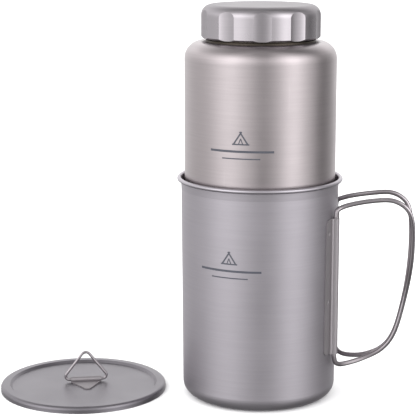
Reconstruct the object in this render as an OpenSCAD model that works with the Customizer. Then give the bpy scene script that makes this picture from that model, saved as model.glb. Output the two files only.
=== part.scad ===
// Camping cook pot set: a pot with butterfly wire handles, the wide-mouth bottle
// that nests in it, and the pot's lid. Millimetres. The origin is on the pot's
// axis at the ground, +Z is up and +X points along the open handle.

/* [Pot] */
// Outside diameter of the pot, just under its rim
pot_d = 95; // [92:0.5:98]
// Outside diameter at the foot, a little less for the draw of the sheet
pot_foot_d = 93.4; // [92:0.1:95]
// Height of the pot, ground to the top of the rolled rim
pot_h = 135.6; // [130:0.1:150]
// Outside radius between the pot's floor and wall
pot_corner_r = 8; // [5:0.5:12]
// Thickness of the titanium sheet in the pot and the bottle
sheet = 0.4; // [0.3:0.05:0.5]
// Diameter of the rolled bead round the pot's mouth
rim_bead_d = 2.56; // [2.2:0.02:3]

/* [Handle] */
// Diameter of the handle's wire
wire_d = 2.9; // [2.4:0.1:3.2]
// Height of the lower end of the bracket's hinge barrels
barrel_z = 29.7; // [26:0.1:34]
// Length of each hinge barrel
barrel_len = 83.6; // [70:0.1:90]
// Distance of each hinge axis from the handle's middle plane
barrel_spread = 17; // [16:0.1:18]
// Distance of the hinge axes from the pot's axis, along the handle
barrel_reach = 46.4; // [46.2:0.1:46.8]
// Thickness of the bracket's sheet
bracket_sheet = 0.6; // [0.5:0.05:0.8]
// Half the angle that the bracket covers round the pot, edge to middle plane
bracket_half_angle = 31; // [28:0.5:34]

/* [Bottle] */
// Outside diameter of the bottle
bottle_d = 91; // [88:0.5:92]
// Height of the bottle's body, its foot to the top of the shoulder
bottle_body_h = 166; // [140:1:170]
// Height of the bottle's foot above the ground, where it is pushed in to
bottle_foot_z = 51; // [40:1:70]
// Outside radius of the shoulder
shoulder_r = 10.2; // [6:0.1:14]
// Height of the separate bottom pan, up to its weld
pan_h = 12; // [10:0.5:20]
// Outside diameter of the neck
neck_d = 61.2; // [60:0.1:61.6]

/* [Cap] */
// Outside diameter of the cap
cap_d = 71.2; // [70:0.1:74]
// Height of the cap
cap_h = 19.7; // [19.5:0.1:24]
// Gap between the bottle's shoulder and the cap
cap_gap = 1.9; // [1.5:0.1:3]
// Radius of the cap's top edge
cap_edge_r = 6.3; // [4:0.1:7]
// Number of finger scallops round the cap
scallop_count = 10; // [6:1:12]
// Width of a scallop at the cap's side
scallop_w = 10.6; // [8:0.1:12]
// Depth of a scallop at its middle
scallop_depth = 1; // [0.8:0.05:1.3]
// Direction of the first scallop
scallop_angle = -85.6; // [-180:0.1:180]
// Rise of the screw thread in one turn
thread_lead = 4; // [3.6:0.1:4.4]

/* [Lid] */
// Outside diameter of the lid
lid_d = 102.6; // [102:0.1:106]
// Height of the lid's lip, ground to the top of its flange
lid_h = 4; // [3.5:0.1:6]
// Thickness of the lid's sheet
lid_sheet = 0.5; // [0.4:0.05:0.7]
// Depth of the lid's sunk middle below its flange
lid_recess = 1.5; // [1:0.1:2]
// Place of the lid's centre on the ground, across the handle's line
lid_x = -109.2; // [-130:0.1:-104]
// Place of the lid's centre on the ground, along Y
lid_y = -4.1; // [-20:0.1:20]
// Direction of the clip's barrel on the lid
lid_turn = 13; // [-180:0.1:180]
// Diameter of the ring's wire
ring_wire_d = 1.75; // [1.5:0.05:2]
// Width of the triangular ring, outside its wire
ring_w = 27.2; // [24:0.5:30]
// Height of the ring above its hinge axis, to the outside of its wire
ring_h = 18.3; // [15:0.1:22]
// Length of the clip's barrel
clip_len = 19; // [14:0.1:20]

/* [Hidden] */
$fn = 72;
eps = 0.01;
titanium = [0.60, 0.59, 0.60];
bright_titanium = [0.68, 0.66, 0.66];

// Pot
pot_r = pot_d / 2;
pot_foot_r = pot_foot_d / 2;
rim_r = rim_bead_d / 2;
rim_flare = 0.42;
rim_flare_h = 6;
rim_z = pot_h - rim_r;
rim_low_z = rim_z - rim_flare_h;
rim_mid_r = pot_r - sheet + rim_flare + rim_r;
curl_gap = 0.33;

// Bracket and wings
bore_clearance = 0.05;
bore_r = wire_d / 2 + bore_clearance;
barrel_r = bore_r + bracket_sheet;
bracket_corner_r = 3.2;
foot_spread = 0.7;
foot_out = 1.15;
foot_inset = 0.05;
foot_lap = 0.1;
trim_depth = 2;
cutter_len = 10;
dimple_r = 1.6;
dimple_depth = 0.35;
dimple_angle = bracket_half_angle - 3.4;
dimple_heights = [0.4, 0.9];
pin_end = 1.2;
wire_sides = 12;
route_steps = 5;
route_lead = 4;
// The wire's course outside the barrel, from its top end to its lower end:
// [reach from the pot's axis, distance from the middle plane, height]
wing_route = [
    [46.4, 17, 114.5],
    [47, 16.6, 117.8],
    [50, 15, 119.6],
    [56.5, 13.9, 121.5],
    [68, 13, 123.4],
    [79, 13.4, 123.9],
    [86.6, 13.8, 120.6],
    [90.9, 13.6, 114.4],
    [92.3, 11.6, 103],
    [91.8, 8, 84],
    [88.8, 3, 63],
    [83.2, 1.7, 40.5],
    [75.6, 1.7, 29.2],
    [64, 4.1, 23.4],
    [53, 10.1, 21.5],
    [47.8, 15.2, 23.2],
    [46.4, 17, 28.5]];

// Bottle
bottle_r = bottle_d / 2;
shoulder_z = bottle_foot_z + bottle_body_h;
bottle_corner_r = 8;
neck_r = neck_d / 2;
neck_sheet = 0.6;
neck_bead_w = 2.2;
neck_bead_h = 0.9;
ridge_depth = 1;
ridge_foot_w = 1.7;
ridge_tip_w = 0.7;
ridge_root = 0.25;
ridge_step = 9;
ridge_fade = 36;
ridge_blunt = 4;

// Cap
cap_r = cap_d / 2;
cap_z = shoulder_z + cap_gap;
cap_top_z = cap_z + cap_h;
cap_top_t = 1.5;
cap_chamfer = 0.9;
cap_bore_r = 33.6;
cap_bore_corner_r = 3.4;
liner_t = 1.6;
liner_bore_r = cap_bore_r - liner_t;
liner_top_z = cap_top_z - cap_top_t;
liner_lift = 0.8;
liner_z = cap_z + liner_lift;
seal_t = 1.8;
seal_top_z = liner_top_z - liner_t;
seal_w = 2;
seal_bevel = 0.9;
seal_gap = 0.05;
neck_top_z = seal_top_z - seal_t - seal_gap;
neck_lip_r = 0.45;
thread_drop = 10;
neck_thread_z = neck_top_z - thread_drop;
liner_thread_z = neck_thread_z + thread_lead / 2;

// Lid
lid_r = lid_d / 2;
lid_edge_r = 2;
lid_flange_w = 5.7;
lid_step_w = 1.3;
panel_z = lid_h - lid_recess;
clip_sheet = 0.75;
clip_bore_r = ring_wire_d / 2 + 0.05;
clip_r = clip_bore_r + clip_sheet;
clip_shift_x = 1.8;
clip_shift_y = 3.5;
clip_tab_len = 16;
clip_tab_tip_r = 2.4;
ring_r = ring_wire_d / 2;
ring_corner_r = 2.3;
ring_tip_r = 3;
bend_steps = 8;

// Radius of the pot's outer wall at height z, between its corner and its flare
function pot_wall_r(z) =
    pot_foot_r + (pot_r - pot_foot_r) * (z - pot_corner_r) / (rim_low_z - pot_corner_r);

// Half section of a drawn can with a rounded corner, solid from its axis out
module can_section(foot_r, top_r, h, corner) {
    polygon([[0, 0], [foot_r - corner, 0], [foot_r, corner], [top_r, h], [0, h]]);
    translate([foot_r - corner, corner]) circle(r = corner);
}

// Drawn can of thin sheet with its rolled and flared rim
module pot_shell() {
    color(titanium) rotate_extrude() {
        difference() {
            can_section(pot_foot_r, pot_r, rim_low_z, pot_corner_r);
            translate([0, sheet])
                can_section(pot_foot_r - sheet, pot_r - sheet, rim_low_z, pot_corner_r - sheet);
        }
        rim_section();
    }
}

// The flare under the rim and the curl of sheet that makes the bead
module rim_section() {
    top_in = rim_mid_r - rim_r;
    tongue_in = 0.3 * sheet;
    tongue_out = 0.7 * sheet;
    // The flared wall, with a tongue into the straight wall and one into the curl
    polygon([[pot_r - sheet, rim_low_z], [pot_r - tongue_out, rim_low_z - sheet],
             [pot_r - tongue_in, rim_low_z - sheet], [pot_r, rim_low_z], [top_in + sheet, rim_z],
             [top_in + tongue_out, rim_z + tongue_out], [top_in + tongue_in, rim_z + tongue_out],
             [top_in, rim_z]]);
    difference() {
        translate([rim_mid_r, rim_z]) circle(r = rim_r);
        translate([rim_mid_r, rim_z]) circle(r = rim_r - sheet);
        translate([top_in - eps, rim_z - rim_r]) square([sheet + curl_gap, rim_r]);
    }
}

// The pot's outer body as a solid, for trimming what is welded to it
module pot_body() {
    rotate_extrude() can_section(pot_foot_r, pot_r, rim_low_z, pot_corner_r);
}

// Places its children at both hinge axes
module at_barrels() {
    for (side = [-1, 1]) translate([barrel_reach, side * barrel_spread, 0]) children();
}

// Sheet bracket welded to the pot: flange, barrel, web, barrel, flange
module handle_bracket() {
    color(bright_titanium) difference() {
        union() {
            difference() {
                bracket_skin();
                bracket_corners();
            }
            for (side = [-1, 1]) translate([barrel_reach, side * barrel_spread, barrel_z])
                rotate([0, 0, side * atan2(barrel_spread, barrel_reach)])
                    linear_extrude(barrel_len) barrel_outline();
        }
        pot_body();
        at_barrels() translate([0, 0, barrel_z - 1]) cylinder(h = barrel_len + 2, r = bore_r);
        for (side = [-1, 1], part = dimple_heights)
            dimple(side * dimple_angle, barrel_z + part * barrel_len);
    }
}

// Sheet between the bracket's outer edges, its inside left for the pot to trim
module bracket_skin() {
    top_z = barrel_z + barrel_len;
    low_r = pot_wall_r(barrel_z) + bracket_sheet;
    high_r = pot_wall_r(top_z) + bracket_sheet;
    inner_r = pot_foot_r - trim_depth;
    rotate([0, 0, -bracket_half_angle]) rotate_extrude(angle = 2 * bracket_half_angle)
        polygon([[inner_r, barrel_z], [low_r, barrel_z], [high_r, top_z], [inner_r, top_z]]);
}

// What is cut away to round the four corners of the flanges
module bracket_corners() {
    cut = bracket_corner_r;
    for (side = [-1, 1], end = [0, 1])
        rotate([0, 0, side * bracket_half_angle])
            translate([pot_r - cutter_len / 2, 0, barrel_z + end * barrel_len])
                mirror([0, side < 0 ? 0 : 1, 0]) mirror([0, 0, end]) difference() {
                    translate([0, -1, -1]) cube([cutter_len, cut + 1, cut + 1]);
                    translate([-1, cut, cut]) rotate([0, 90, 0]) cylinder(h = cutter_len + 2, r = cut);
                }
}

// A barrel seen from above, with its foot reaching in past the pot's wall
module barrel_outline() {
    side = barrel_r - foot_inset;
    slope_x = foot_spread - foot_out;
    difference() {
        circle(r = barrel_r);
        translate([-2 * barrel_r, -barrel_r - 1]) square([2 * barrel_r, 2 * barrel_r + 2]);
    }
    polygon([[-2 * barrel_r, -side - foot_spread], [-foot_out, -side - foot_spread], [slope_x, -side],
             [foot_lap, -side], [foot_lap, side], [slope_x, side],
             [-foot_out, side + foot_spread], [-2 * barrel_r, side + foot_spread]]);
}

// Shallow pit left by a weld on a flange
module dimple(angle, z) {
    sphere_r = (dimple_r * dimple_r + dimple_depth * dimple_depth) / (2 * dimple_depth);
    out = pot_wall_r(z) + bracket_sheet + sphere_r - dimple_depth;
    rotate([0, 0, angle]) translate([out, 0, z]) sphere(r = sphere_r);
}

// Point at t from b to c on the smooth curve through a, b, c and d
function curve_point(a, b, c, d, t) =
    0.5 * ((2 * b) + (c - a) * t + (2 * a - 5 * b + 4 * c - d) * t * t
           + (3 * b - a - 3 * c + d) * t * t * t);

// Smooth curve through points, with its ends running straight up the barrel
function smooth_route(p, n) =
    let (lead = [0, 0, route_lead], q = concat([p[0] - lead], p, [p[len(p) - 1] + lead]))
    concat([for (i = [1 : len(q) - 3], k = [0 : n - 1])
            curve_point(q[i - 1], q[i], q[i + 1], q[i + 2], k / n)],
           [p[len(p) - 1]]);

function unit(v) = v / norm(v);

// Direction of a route at point i, where both its ends run along pin
function heading(p, i, pin) = i == 0 || i == len(p) - 1 ? pin : unit(p[i + 1] - p[i - 1]);

// Side direction carried along a route without twisting
function carry(side, dir) = unit(side - dir * (side * dir));
function sides_along(p, i, pin, side) =
    i == len(p) ? [] : let (s = carry(side, heading(p, i, pin))) concat([s], sides_along(p, i + 1, pin, s));

// Round wire of radius r swept along a route that leaves and rejoins a pin
module wire(p, r, pin) {
    n = len(p);
    s = sides_along(p, 0, pin, [0, 1, 0]);
    rings = [for (i = [0 : n - 1], k = [0 : wire_sides - 1])
        let (a = 360 * k / wire_sides, d = heading(p, i, pin))
        p[i] + r * (cos(a) * s[i] + sin(a) * cross(d, s[i]))];
    skin = [for (i = [0 : n - 2], k = [0 : wire_sides - 1])
        let (j = (k + 1) % wire_sides, m = i * wire_sides)
        [m + k, m + wire_sides + k, m + wire_sides + j, m + j]];
    polyhedron(points = rings,
               faces = concat([[for (k = [0 : wire_sides - 1]) k]],
                              [[for (k = [0 : wire_sides - 1]) n * wire_sides - 1 - k]], skin));
}

// One wire wing: a straight pin in its barrel and the bent loop outside it
module wing(side) {
    route = [for (q = smooth_route(wing_route, route_steps)) [q[0], side * q[1], q[2]]];
    color(bright_titanium) union() {
        translate([barrel_reach, side * barrel_spread, barrel_z - pin_end])
            cylinder(h = barrel_len + 2 * pin_end, r = wire_d / 2);
        wire(route, wire_d / 2 - eps, [0, 0, 1]);
    }
}

module wing_front() {
    wing(-1);
}

module wing_rear() {
    wing(1);
}

// Half section of the bottle's body as a solid, drawn in by inset all round
module bottle_section(inset) {
    side = bottle_r - inset;
    bend = shoulder_r - inset;
    mid_r = bottle_r - shoulder_r;
    mid_z = shoulder_z - shoulder_r;
    translate([0, bottle_foot_z + inset])
        can_section(side, side, mid_z - bottle_foot_z - inset, bottle_corner_r - inset);
    polygon([[0, mid_z - 1], [side, mid_z - 1], [side, mid_z], [mid_r, mid_z + bend], [0, mid_z + bend]]);
    translate([mid_r, mid_z]) circle(r = bend);
}

module bottle_wall_section() {
    difference() {
        bottle_section(0);
        bottle_section(sheet);
    }
}

// Side and shoulder of the bottle, open at the neck and at the pan's weld
module bottle_body() {
    color(bright_titanium) rotate_extrude() difference() {
        bottle_wall_section();
        translate([0, bottle_foot_z - 1]) square([bottle_d, pan_h + 1]);
        translate([0, shoulder_z - 2]) square([neck_r - neck_sheet, 4]);
    }
}

// Bottom pan of the bottle, butt-welded to the side
module bottle_pan() {
    color(bright_titanium) rotate_extrude() intersection() {
        bottle_wall_section();
        translate([0, bottle_foot_z - 1]) square([bottle_d, pan_h + 1]);
    }
}

// Height of a thread's ridge at an angle along it, faded in and out at its ends
function ridge_rise(a, total) =
    ridge_depth * min(1, (a + ridge_blunt) / ridge_fade, (total - a + ridge_blunt) / ridge_fade);

// Helical ridge on a wall of radius r, pointing out (way 1) or in (way -1)
module ridge(r, z, total, way) {
    turns = [for (a = [0 : ridge_step : total]) a];
    n = len(turns);
    ring = [for (a = turns) let (
                tip = r + way * ridge_rise(a, total),
                root = r - way * ridge_root,
                mid = z + thread_lead * a / 360,
                w = ridge_foot_w / 2,
                t = ridge_tip_w / 2)
            each [for (q = [[root, -w], [tip, -t], [tip, t], [root, w]])
                  [q[0] * cos(a), q[0] * sin(a), mid + q[1]]]];
    skin = [for (i = [0 : n - 2], k = [0 : 3]) let (j = (k + 1) % 4, m = 4 * i)
            way > 0 ? [m + j, m + 4 + j, m + 4 + k, m + k] : [m + k, m + 4 + k, m + 4 + j, m + j]];
    ends = way > 0 ? [[3, 2, 1, 0], [4 * n - 4, 4 * n - 3, 4 * n - 2, 4 * n - 1]]
                   : [[0, 1, 2, 3], [4 * n - 1, 4 * n - 2, 4 * n - 3, 4 * n - 4]];
    polyhedron(points = ring, faces = concat(skin, ends));
}

// Neck welded to the shoulder, with its bead, its thread and a rounded lip
module neck_ring() {
    lip_z = neck_top_z - neck_lip_r;
    color(bright_titanium) union() {
        rotate_extrude() {
            translate([neck_r - neck_sheet, shoulder_z]) square([neck_sheet, lip_z - shoulder_z]);
            translate([neck_r - neck_sheet, shoulder_z]) square([neck_bead_w + neck_sheet, neck_bead_h]);
            translate([neck_r - neck_sheet / 2, lip_z]) circle(r = neck_lip_r);
        }
        ridge(neck_r, neck_thread_z, 540, 1);
    }
}

// Half section of the hollow in the cap above height z, drawn in by inset
module cap_hollow_section(inset, z) {
    side = cap_bore_r - inset;
    translate([0, liner_top_z - inset]) mirror([0, 1])
        can_section(side, side, liner_top_z - inset - z, cap_bore_corner_r - inset);
}

// Scalloped outer shell of the cap
module cap_shell() {
    half = scallop_w / 2;
    edge_x = sqrt(cap_r * cap_r - half * half);
    sag = scallop_depth - (cap_r - edge_x);
    cutter_r = (half * half + sag * sag) / (2 * sag);
    color(titanium) difference() {
        rotate_extrude() {
            translate([0, cap_z]) polygon([[0, 0], [cap_r - cap_chamfer, 0], [cap_r, cap_chamfer],
                [cap_r, cap_h - cap_edge_r], [cap_r - cap_edge_r, cap_h], [0, cap_h]]);
            translate([cap_r - cap_edge_r, cap_top_z - cap_edge_r]) circle(r = cap_edge_r);
        }
        rotate_extrude() cap_hollow_section(0, cap_z - 1);
        for (i = [0 : scallop_count - 1])
            rotate([0, 0, scallop_angle + i * 360 / scallop_count])
                translate([cap_r - scallop_depth + cutter_r, 0, cap_z - 1])
                    cylinder(h = cap_h + 2, r = cutter_r);
    }
}

// Threaded plastic liner bonded inside the cap's shell
module cap_liner() {
    color("gainsboro") union() {
        rotate_extrude() difference() {
            cap_hollow_section(0, liner_z);
            cap_hollow_section(liner_t, liner_z - 1);
        }
        ridge(liner_bore_r, liner_thread_z, 360, -1);
    }
}

// Silicone ring that the neck's lip presses on; the cap turns on it
module cap_seal() {
    top = seal_t - seal_gap;
    color("whitesmoke") rotate_extrude()
        translate([neck_r - neck_sheet / 2 - seal_w / 2, seal_top_z - seal_t])
            polygon([[0, 0], [seal_w, 0], [seal_w, top - seal_bevel],
                     [seal_w - seal_bevel, top], [0, top]]);
}

// Places its children in the lid's own frame
module on_lid() {
    translate([lid_x, lid_y, 0]) rotate([0, 0, lid_turn]) children();
}

// Half section under the lid's upper face, or under its lower face with inset
module lid_section(inset) {
    top = lid_h - inset;
    edge = lid_edge_r - inset;
    flange_in = lid_r - lid_flange_w;
    difference() {
        union() {
            translate([0, -inset]) square([lid_r - lid_edge_r, top + inset]);
            translate([0, -inset]) square([lid_r - inset, lid_h - lid_edge_r + inset]);
            translate([lid_r - lid_edge_r, lid_h - lid_edge_r]) intersection() {
                circle(r = edge);
                square(edge);
            }
        }
        polygon([[0, panel_z - inset], [flange_in - lid_step_w - inset / 2, panel_z - inset],
                 [flange_in - inset / 2, top], [flange_in - inset / 2, lid_h + 1], [0, lid_h + 1]]);
    }
}

// Pressed lid with a turned-down lip and a sunk middle
module lid_plate() {
    color(titanium) on_lid() rotate_extrude() difference() {
        lid_section(0);
        lid_section(lid_sheet);
    }
}

// Places its children on the ring's hinge axis, with X along it
module at_clip() {
    on_lid() translate([clip_shift_x, clip_shift_y, panel_z + clip_r]) children();
}

// Folded clip on the lid: a barrel for the ring and a pointed welded tab
module ring_clip() {
    color(bright_titanium) at_clip() difference() {
        union() {
            translate([-clip_len / 2, 0, 0]) rotate([0, 90, 0]) cylinder(h = clip_len, r = clip_r);
            translate([0, 0, -clip_r]) clip_tab();
        }
        translate([-clip_len / 2 - 1, 0, 0]) rotate([0, 90, 0])
            cylinder(h = clip_len + 2, r = clip_bore_r);
    }
}

// Flat tab under the barrel, narrowing to a rounded tip
module clip_tab() {
    half = clip_len / 2;
    tip_y = -clip_tab_len + clip_tab_tip_r;
    lean = atan2(half - clip_tab_tip_r, clip_tab_len - clip_tab_tip_r);
    linear_extrude(clip_sheet) {
        polygon([[-half, 0], [-half, -1], [-clip_tab_tip_r * cos(lean), tip_y - clip_tab_tip_r * sin(lean)],
                 [clip_tab_tip_r * cos(lean), tip_y - clip_tab_tip_r * sin(lean)], [half, -1], [half, 0]]);
        translate([0, tip_y]) circle(r = clip_tab_tip_r);
    }
}

// Points of a bend of the ring about a centre, in the plane that it stands in
function bend_points(centre, bend_r, from, to) =
    [for (k = [0 : bend_steps]) let (a = from + (to - from) * k / bend_steps)
        [centre[0] + bend_r * cos(a), 0, centre[1] + bend_r * sin(a)]];

// Triangular ring that hinges in the clip: a straight pin and the bent rest
module lid_ring() {
    low = [ring_w / 2 - ring_r - ring_corner_r, ring_corner_r];
    tip = [0, ring_h - ring_r - ring_tip_r];
    gap = tip - low;
    // Angle of the slanted side's outward normal, tangent to both bends
    normal = atan2(gap[1], gap[0]) - acos((ring_corner_r - ring_tip_r) / norm(gap));
    route = concat(bend_points(low, ring_corner_r, -90, normal),
                   bend_points(tip, ring_tip_r, normal, 180 - normal),
                   bend_points([-low[0], low[1]], ring_corner_r, 180 - normal, 270));
    color(bright_titanium) at_clip() union() {
        translate([-low[0], 0, 0]) rotate([0, 90, 0]) cylinder(h = 2 * low[0], r = ring_r);
        wire(route, ring_r - eps, [1, 0, 0]);
    }
}

pot_shell();
handle_bracket();
wing_front();
wing_rear();
bottle_body();
bottle_pan();
neck_ring();
cap_shell();
cap_liner();
cap_seal();
lid_plate();
ring_clip();
lid_ring();
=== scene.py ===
"""Camping cook pot set: looks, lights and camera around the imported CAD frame."""
import math

import bpy
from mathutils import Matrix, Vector


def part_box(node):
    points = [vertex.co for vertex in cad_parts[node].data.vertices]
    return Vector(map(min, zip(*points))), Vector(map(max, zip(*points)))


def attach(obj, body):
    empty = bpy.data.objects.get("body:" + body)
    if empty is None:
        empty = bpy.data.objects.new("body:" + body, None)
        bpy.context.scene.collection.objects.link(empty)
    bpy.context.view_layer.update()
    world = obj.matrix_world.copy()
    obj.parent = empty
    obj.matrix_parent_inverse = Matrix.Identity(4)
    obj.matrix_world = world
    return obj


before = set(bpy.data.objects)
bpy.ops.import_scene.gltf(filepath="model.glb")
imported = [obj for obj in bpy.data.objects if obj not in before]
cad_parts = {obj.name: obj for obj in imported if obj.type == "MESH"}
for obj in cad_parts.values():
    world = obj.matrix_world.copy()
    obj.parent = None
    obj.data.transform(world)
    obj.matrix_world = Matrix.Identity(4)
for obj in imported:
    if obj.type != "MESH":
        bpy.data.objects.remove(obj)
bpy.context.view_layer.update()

MM = 0.001


# ---------------------------------------------------------------- materials

# Noise scales per metre of the blasted skin, and their stretch along x, y and z
SPECKLE_SCALE = 2600
CLOUD_SCALE = 38
HAIR_SCALE = 420
HAIR_STRETCH = (1, 1, 0.06)
FORMING_SCALE = 1100
FORMING_STRETCH = (0.03, 0.03, 1)

# Tone of the metal runs from its dark to its light shade, as factors on its colour
METAL_DARK = 0.91
METAL_LIGHT = 1.08
CLOUD_TONE = (0.1, 0.35)
SPECKLE_TONE = 0.5
POLISH_TONE = 0.5

# Hairline scratches are the crests of a noise; polish makes the metal smoother
HAIR_POLISH = 0.4
HAIR_CRESTS = (0.66, 0.74)
POLISH_ROUGHNESS = -0.09
METAL_ROUGHNESS_SPREAD = 0.03
METAL_BUMP = 0.06
METAL_BUMP_DEPTH = 0.2 * MM

PLASTIC_SCALE = 300
PLASTIC_DARK = 0.93
PLASTIC_ROUGHNESS_SPREAD = 0.05
PLASTIC_BUMP = 0.1
PLASTIC_BUMP_DEPTH = 0.1 * MM


def new_material(name):
    """Empty node material with a Principled shader and object coordinates."""
    material = bpy.data.materials.new(name)
    material.use_nodes = True
    nodes = material.node_tree.nodes
    shader = nodes["Principled BSDF"]
    place = nodes.new("ShaderNodeTexCoord")
    return material, nodes, material.node_tree.links, shader, place.outputs["Object"]


def noise(nodes, links, place, scale, detail, stretch=(1, 1, 1)):
    """Noise value over object coordinates, with a stretch along each axis."""
    mapping = nodes.new("ShaderNodeMapping")
    mapping.inputs["Scale"].default_value = stretch
    links.new(place, mapping.inputs["Vector"])
    texture = nodes.new("ShaderNodeTexNoise")
    texture.inputs["Scale"].default_value = scale
    texture.inputs["Detail"].default_value = detail
    links.new(mapping.outputs["Vector"], texture.inputs["Vector"])
    return texture.outputs["Fac"]


def remap(nodes, links, value, low, high, start=0.3, end=0.7):
    """Takes a value from start..end to low..high, held at low and high beyond them.

    The defaults are the span that most of a noise value falls in.
    """
    node = nodes.new("ShaderNodeMapRange")
    node.inputs["From Min"].default_value = start
    node.inputs["From Max"].default_value = end
    node.inputs["To Min"].default_value = low
    node.inputs["To Max"].default_value = high
    links.new(value, node.inputs["Value"])
    return node.outputs["Result"]


def scaled_sum(nodes, links, value, factor, added):
    """A value times a constant factor, plus another value."""
    node = nodes.new("ShaderNodeMath")
    node.operation = "MULTIPLY_ADD"
    links.new(value, node.inputs[0])
    node.inputs[1].default_value = factor
    links.new(added, node.inputs[2])
    return node.outputs[0]


def measure(nodes, links, place, kind):
    """Height above the ground, or reach from the pot's axis, of a point."""
    if kind == "height":
        split = nodes.new("ShaderNodeSeparateXYZ")
        links.new(place, split.inputs["Vector"])
        return split.outputs["Z"]
    flat = nodes.new("ShaderNodeMapping")
    flat.inputs["Scale"].default_value = (1, 1, 0)
    links.new(place, flat.inputs["Vector"])
    length = nodes.new("ShaderNodeVectorMath")
    length.operation = "LENGTH"
    links.new(flat.outputs["Vector"], length.inputs[0])
    return length.outputs["Value"]


def shaded(colour, factor):
    """Colour with each channel times a factor."""
    return tuple(c * factor for c in colour)


def mix_colours(nodes, links, factor, first, second):
    """Colour from first to second as factor goes from 0 to 1."""
    node = nodes.new("ShaderNodeMix")
    node.data_type = "RGBA"
    node.inputs["A"].default_value = (*first, 1)
    node.inputs["B"].default_value = (*second, 1)
    links.new(factor, node.inputs["Factor"])
    return node.outputs["Result"]


def add_bump(nodes, links, shader, value, strength, depth):
    """Bumps a shader's surface by a value."""
    bump = nodes.new("ShaderNodeBump")
    bump.inputs["Strength"].default_value = strength
    bump.inputs["Distance"].default_value = depth
    links.new(value, bump.inputs["Height"])
    links.new(bump.outputs["Normal"], shader.inputs["Normal"])


def blasted_titanium(name, colour, rough, edge=1.0, turned=0.0, worn=None):
    """Titanium with a fine bead-blasted skin, faint clouding and hairline marks.

    edge under 1 darkens the metal at a glancing angle, and turned is the strength of
    level forming marks. worn names a measure and the two values in metres between
    which handling takes the skin from plain to polished.
    """
    material, nodes, links, shader, place = new_material(name)
    speckle = noise(nodes, links, place, SPECKLE_SCALE, 3)
    clouds = noise(nodes, links, place, CLOUD_SCALE, 3)
    hairs = noise(nodes, links, place, HAIR_SCALE, 4, HAIR_STRETCH)
    forming = noise(nodes, links, place, FORMING_SCALE, 3, FORMING_STRETCH)
    clouding = remap(nodes, links, clouds, *CLOUD_TONE)
    tone = scaled_sum(nodes, links, speckle, SPECKLE_TONE, clouding)
    tone = scaled_sum(nodes, links, remap(nodes, links, forming, -1, 1), turned, tone)
    polish = remap(nodes, links, hairs, 0, HAIR_POLISH, *HAIR_CRESTS)
    if worn:
        kind, start, end = worn
        polish = remap(nodes, links, measure(nodes, links, place, kind), 0, 1, start, end)
    tone = scaled_sum(nodes, links, polish, POLISH_TONE, tone)
    dark = shaded(colour, METAL_DARK)
    light = shaded(colour, METAL_LIGHT)
    links.new(mix_colours(nodes, links, tone, dark, light), shader.inputs["Base Color"])
    spread = METAL_ROUGHNESS_SPREAD
    dull = remap(nodes, links, clouds, rough - spread, rough + spread)
    roughness = scaled_sum(nodes, links, polish, POLISH_ROUGHNESS, dull)
    links.new(roughness, shader.inputs["Roughness"])
    shader.inputs["Metallic"].default_value = 1
    shader.inputs["Specular Tint"].default_value = (edge, edge, edge, 1)
    add_bump(nodes, links, shader, speckle, METAL_BUMP, METAL_BUMP_DEPTH)
    return material


def plain_plastic(name, colour, rough):
    """Moulded plastic, rubber or ink with a faint texture."""
    material, nodes, links, shader, place = new_material(name)
    clouds = noise(nodes, links, place, PLASTIC_SCALE, 3)
    dark = shaded(colour, PLASTIC_DARK)
    links.new(mix_colours(nodes, links, clouds, dark, colour), shader.inputs["Base Color"])
    spread = PLASTIC_ROUGHNESS_SPREAD
    dull = remap(nodes, links, clouds, rough - spread, rough + spread)
    links.new(dull, shader.inputs["Roughness"])
    add_bump(nodes, links, shader, clouds, PLASTIC_BUMP, PLASTIC_BUMP_DEPTH)
    return material


rim_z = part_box("pot_shell")[1].z
cap_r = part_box("cap_shell")[1].x
wing_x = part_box("wing_front")[1].x

POT = blasted_titanium("pot_titanium", (0.425, 0.401, 0.434), rough=0.49, turned=0.16,
                       worn=("height", rim_z - 3 * MM, rim_z - 1 * MM))
BOTTLE = blasted_titanium("bottle_titanium", (0.42, 0.38, 0.39), rough=0.35, turned=0.2)
# Painted shade: the neck is coloured near black to stand in for the deep shadow in the gap under
# the cap.
NECK_PAINTED_SHADE = blasted_titanium("neck_painted_shade_titanium", (0.085, 0.072, 0.06), rough=0.45)
CAP = blasted_titanium("cap_titanium", (0.365, 0.342, 0.362), rough=0.38, edge=0.75, turned=0.2,
                       worn=("reach", cap_r - 0.9 * MM, cap_r - 0.2 * MM))
# Painted shade: the lid's titanium has about half the colour of the other parts, standing in for
# dimmer light on its upturned face; its lower edge is polished by handling.
LID_PAINTED_SHADE = blasted_titanium("lid_titanium_painted_shade", (0.215, 0.203, 0.222), rough=0.42,
                       worn=("height", 1.5 * MM, 0.3 * MM))
FITTING = blasted_titanium("fitting_titanium", (0.40, 0.376, 0.392), rough=0.6, edge=0.7)
WIRE = blasted_titanium("wire_titanium", (0.345, 0.318, 0.335), rough=0.37, edge=0.25,
                        worn=("reach", wing_x - 14 * MM, wing_x - 4 * MM))
LINER = plain_plastic("liner_plastic", (0.62, 0.61, 0.58), rough=0.45)
SEAL = plain_plastic("seal_silicone", (0.75, 0.74, 0.70), rough=0.55)
INK = plain_plastic("printed_ink", (0.055, 0.058, 0.075), rough=0.5)

FINISHES = {
    "pot_shell": POT,
    "handle_bracket": FITTING,
    "wing_front": WIRE,
    "wing_rear": WIRE,
    "bottle_body": BOTTLE,
    "bottle_pan": BOTTLE,
    "neck_ring": NECK_PAINTED_SHADE,
    "cap_shell": CAP,
    "cap_liner": LINER,
    "cap_seal": SEAL,
    "lid_plate": LID_PAINTED_SHADE,
    "ring_clip": FITTING,
    "lid_ring": WIRE,
}
for node_name, finish in FINISHES.items():
    node_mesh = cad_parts[node_name].data
    node_mesh.materials.clear()
    node_mesh.materials.append(finish)


# ------------------------------------------- printed marks and weld bead, in mm

# Ink stands a hair off the wall; a bar is cut into steps so that it follows the wall
MARK_LIFT = 0.005
MARK_THICK = 0.03
BAR_STEP = 0.8

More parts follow.
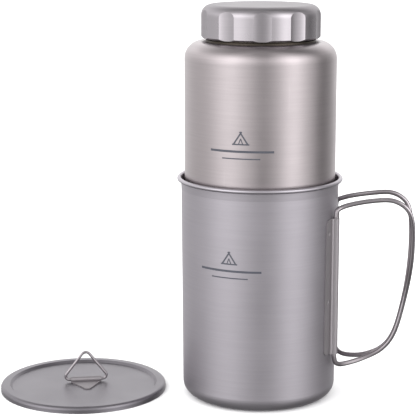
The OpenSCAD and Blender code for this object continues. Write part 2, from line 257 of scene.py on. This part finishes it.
# Tent outline, measured from the middle of its base
TENT_W = 8.6
TENT_H = 7.4
TENT_LINE = 0.9
POLE_CROSS = 0.6
BASE_OVERHANG = 0.9
BASE_LINE = 0.8
DOOR_HALF = 1.3
DOOR_H = 3.4
DOOR_LINE = 0.6

# Plain rules under the tent: half length, drop below its base, and thickness
RULES = [(19.5, 4.2, 1.3), (11.5, 8.4, 0.7)]

# Where the marks sit: degrees round from +X, and how high
BOTTLE_MARK_TURN = -101.4
BOTTLE_MARK_DROP = 55.8
POT_MARK_TURN = -109.2
POT_MARK_Z = 90.6

# Heights at the two ends of the pot's tapered wall, and how far from them to look
POT_WALL = (8, 128.3)
WALL_BAND = 0.7

BEAD_STEPS = 360
BEAD_SIDES = 10
BEAD_W = 1.3
BEAD_PROUD = 0.09
BEAD_RIPPLE = 0.025
RIPPLE_CYCLE = 3


def add_mesh(name, vertices, faces, look):
    """New object in the scene, with one mesh and one material."""
    mesh = bpy.data.meshes.new(name)
    mesh.from_pydata(vertices, [], faces)
    mesh.materials.append(look)
    piece = bpy.data.objects.new(name, mesh)
    bpy.context.scene.collection.objects.link(piece)
    return piece


def skin_radius(node, height):
    """Outer radius of a round node at a height that has corners in its mesh."""
    reaches = [
        math.hypot(v.co.x, v.co.y)
        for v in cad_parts[node].data.vertices
        if abs(v.co.z / MM - height) < WALL_BAND
    ]
    return max(reaches) / MM


def on_can(can, across, height, out):
    """Point on an upright can: across mm round it from its middle angle, at a height."""
    (low_z, low_r), (high_z, high_r), middle = can
    radius = low_r + (high_r - low_r) * (height - low_z) / (high_z - low_z)
    angle = math.radians(middle) + across / radius
    reach = radius + out
    return Vector((reach * math.cos(angle), reach * math.sin(angle), height)) * MM


def bar_mesh(vertices, faces, can, start, end, width):
    """Adds a thin closed bar from start to end, wrapped round the can."""
    run = Vector(end) - Vector(start)
    side = Vector((-run.y, run.x)).normalized() * width / 2
    steps = max(2, math.ceil(run.length / BAR_STEP))
    first = len(vertices)
    for i in range(steps + 1):
        spot = Vector(start) + run * i / steps
        for out in (MARK_LIFT, MARK_LIFT + MARK_THICK):
            for way in (-1, 1):
                edge = spot + side * way
                vertices.append(on_can(can, edge.x, edge.y, out))
    ring = (0, 1, 3, 2)
    faces.append([first + k for k in reversed(ring)])
    faces.append([first + 4 * steps + k for k in ring])
    for i in range(steps):
        for k in range(4):
            a = first + 4 * i + ring[k]
            b = first + 4 * i + ring[(k + 1) % 4]
            faces.append([a, b, b + 4, a + 4])


def printed_mark(name, body, can, height, ink):
    """Generic mark: a tent outline over two plain rules, its base at a height."""
    vertices = []
    faces = []
    top = height + TENT_H
    half = TENT_W / 2
    bars = [
        ((-half, height), (POLE_CROSS, top), TENT_LINE),
        ((half, height), (-POLE_CROSS, top), TENT_LINE),
        ((-half - BASE_OVERHANG, height), (half + BASE_OVERHANG, height), BASE_LINE),
        ((-DOOR_HALF, height), (0, height + DOOR_H), DOOR_LINE),
        ((DOOR_HALF, height), (0, height + DOOR_H), DOOR_LINE),
    ]
    for reach, drop, thickness in RULES:
        bars.append(((-reach, height - drop), (reach, height - drop), thickness))
    for start, end, width in bars:
        bar_mesh(vertices, faces, can, start, end, width)
    mark = add_mesh(name, vertices, faces, ink)
    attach(mark, body)


def weld_bead(name, body, radius, height, look):
    """Rippled weld bead round an upright can, standing just proud of its wall."""
    vertices = []
    faces = []
    for i in range(BEAD_STEPS):
        turn = 2 * math.pi * i / BEAD_STEPS
        proud = BEAD_PROUD + BEAD_RIPPLE * (i % RIPPLE_CYCLE)
        ahead = BEAD_SIDES if i + 1 < BEAD_STEPS else BEAD_SIDES * (1 - BEAD_STEPS)
        for k in range(BEAD_SIDES):
            angle = 2 * math.pi * k / BEAD_SIDES
            reach = radius + proud * math.cos(angle)
            level = height + BEAD_W / 2 * math.sin(angle)
            vertices.append(Vector((reach * math.cos(turn), reach * math.sin(turn), level)) * MM)
            a = BEAD_SIDES * i + k
            b = BEAD_SIDES * i + (k + 1) % BEAD_SIDES
            faces.append([a, a + ahead, b + ahead, b])
    bead = add_mesh(name, vertices, faces, look)
    bead.data.shade_smooth()
    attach(bead, body)


# The bottle's wall is straight, so any two heights describe it
bottle_low, bottle_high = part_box("bottle_body")
bottle_r = (bottle_high.x - bottle_low.x) / 2 / MM
bottle_can = ((0, bottle_r), (1, bottle_r), BOTTLE_MARK_TURN)
bottle_mark_z = bottle_high.z / MM - BOTTLE_MARK_DROP
pot_can = (*[(z, skin_radius("pot_shell", z)) for z in POT_WALL], POT_MARK_TURN)


# ------------------------------------------------------- floor, light, camera

FLOOR_HALF = 12
FLOOR_COLOUR = (0.93, 0.93, 0.93, 1)
FLOOR_ROUGHNESS = 0.9

# Brightness of the studio by direction, in degrees to the right of the camera, tuned
# until the metal was as bright as readings of it in the photograph
STUDIO_TURN = 87.2
STUDIO_PEAK = 2.8
STUDIO_SIDES = [(-180, 1.2), (-150, 1.1), (-112, 0.9), (-90, 0.95), (-45, 2.0),
                (-18, 1.25), (4, 0.42), (25, 1.0), (50, 2.45), (75, 1.15),
                (104, 0.2), (122, 0.46), (150, 1.05), (180, 1.2)]
# and by height, as the sine of the angle above the horizon
STUDIO_HEIGHTS = [(-1, 0.12), (-0.5, 0.18), (-0.34, 0.35), (-0.18, 0.66), (0.1, 0.77),
                  (0.42, 1.0), (0.65, 0.68), (0.85, 0.32), (1, 0.26)]
STUDIO_LEVEL = 1.55

OVERHEAD_STRENGTH = 2.5
OVERHEAD_SPREAD = 120
OVERHEAD_PLACE = (0, 0, 2)

CAMERA_LENS = 131.6
CAMERA_SENSOR = 36
CAMERA_NEAR = 0.05
CAMERA_PLACE = (0.04459, -0.90590, 0.29710)
CAMERA_TILT = 78.664
CAMERA_TURN = 4.8


def make_floor():
    """Wide pale floor under the set, left out of the metal's reflections."""
    material, _, _, shader, _ = new_material("floor_paper")
    shader.inputs["Base Color"].default_value = FLOOR_COLOUR
    shader.inputs["Roughness"].default_value = FLOOR_ROUGHNESS
    corners = [(-FLOOR_HALF, -FLOOR_HALF, 0), (FLOOR_HALF, -FLOOR_HALF, 0),
               (FLOOR_HALF, FLOOR_HALF, 0), (-FLOOR_HALF, FLOOR_HALF, 0)]
    floor = add_mesh("floor", corners, [(0, 1, 2, 3)], material)
    floor.visible_glossy = False


def brightness_ramp(nodes, links, value, stops):
    """Smooth brightness over a value, from (value, brightness) stops in 0 to 1."""
    ramp = nodes.new("ShaderNodeValToRGB")
    ramp.color_ramp.interpolation = "EASE"
    elements = ramp.color_ramp.elements
    while len(elements) < len(stops):
        elements.new(0.5)
    for element, (position, level) in zip(elements, stops):
        element.position = position
        element.color = (level, level, level, 1)
    links.new(value, ramp.inputs["Fac"])
    return ramp.outputs["Color"]


def make_world():
    """Studio round the set: a soft light to each side of a dim front, a dark strip at
    the right, and a dim ceiling. The camera sees plain white in its place."""
    world = bpy.data.worlds.new("studio")
    world.use_nodes = True
    nodes = world.node_tree.nodes
    links = world.node_tree.links
    background = nodes["Background"]
    place = nodes.new("ShaderNodeTexCoord")
    turned = nodes.new("ShaderNodeMapping")
    turned.inputs["Rotation"].default_value = (0, 0, math.radians(STUDIO_TURN))
    links.new(place.outputs["Generated"], turned.inputs["Vector"])
    split = nodes.new("ShaderNodeSeparateXYZ")
    links.new(turned.outputs["Vector"], split.inputs["Vector"])
    azimuth = nodes.new("ShaderNodeMath")
    azimuth.operation = "ARCTAN2"
    links.new(split.outputs["Y"], azimuth.inputs[0])
    links.new(split.outputs["X"], azimuth.inputs[1])
    around = remap(nodes, links, azimuth.outputs[0], 0, 1, -math.pi, math.pi)
    stops = [((angle + 180) / 360, level / STUDIO_PEAK) for angle, level in STUDIO_SIDES]
    sides = brightness_ramp(nodes, links, around, stops)
    height = remap(nodes, links, split.outputs["Z"], 0, 1, -1, 1)
    stops = [((sine + 1) / 2, level) for sine, level in STUDIO_HEIGHTS]
    heights = brightness_ramp(nodes, links, height, stops)
    mix = nodes.new("ShaderNodeMix")
    mix.data_type = "RGBA"
    mix.blend_type = "MULTIPLY"
    mix.inputs["Factor"].default_value = 1
    links.new(sides, mix.inputs["A"])
    links.new(heights, mix.inputs["B"])
    links.new(mix.outputs["Result"], background.inputs["Color"])
    background.inputs["Strength"].default_value = STUDIO_PEAK * STUDIO_LEVEL
    plain = nodes.new("ShaderNodeBackground")
    plain.inputs["Color"].default_value = (1, 1, 1, 1)
    seen = nodes.new("ShaderNodeLightPath")
    choose = nodes.new("ShaderNodeMixShader")
    links.new(seen.outputs["Is Camera Ray"], choose.inputs["Fac"])
    links.new(background.outputs["Background"], choose.inputs[1])
    links.new(plain.outputs["Background"], choose.inputs[2])
    links.new(choose.outputs["Shader"], nodes["World Output"].inputs["Surface"])
    bpy.context.scene.world = world


def make_floor_light():
    """Broad overhead light for the floor, kept out of reflections."""
    light = bpy.data.lights.new("overhead", "SUN")
    light.energy = OVERHEAD_STRENGTH
    light.angle = math.radians(OVERHEAD_SPREAD)
    lamp = bpy.data.objects.new("overhead", light)
    lamp.location = OVERHEAD_PLACE
    lamp.visible_glossy = False
    bpy.context.scene.collection.objects.link(lamp)


def make_camera():
    """Camera at the photograph's viewing angle."""
    data = bpy.data.cameras.new("camera")
    data.lens = CAMERA_LENS
    data.sensor_width = CAMERA_SENSOR
    data.clip_start = CAMERA_NEAR
    camera = bpy.data.objects.new("camera", data)
    camera.location = CAMERA_PLACE
    camera.rotation_euler = (math.radians(CAMERA_TILT), 0, math.radians(CAMERA_TURN))
    bpy.context.scene.collection.objects.link(camera)
    bpy.context.scene.camera = camera


printed_mark("bottle_mark", "bottle", bottle_can, bottle_mark_z, INK)
weld_bead("pan_weld", "bottle", bottle_r, bottle_low.z / MM, BOTTLE)
printed_mark("pot_mark", "pot", pot_can, POT_MARK_Z, INK)
make_floor()
make_world()
make_floor_light()
make_camera()
bpy.context.scene.view_settings.view_transform = "Standard"
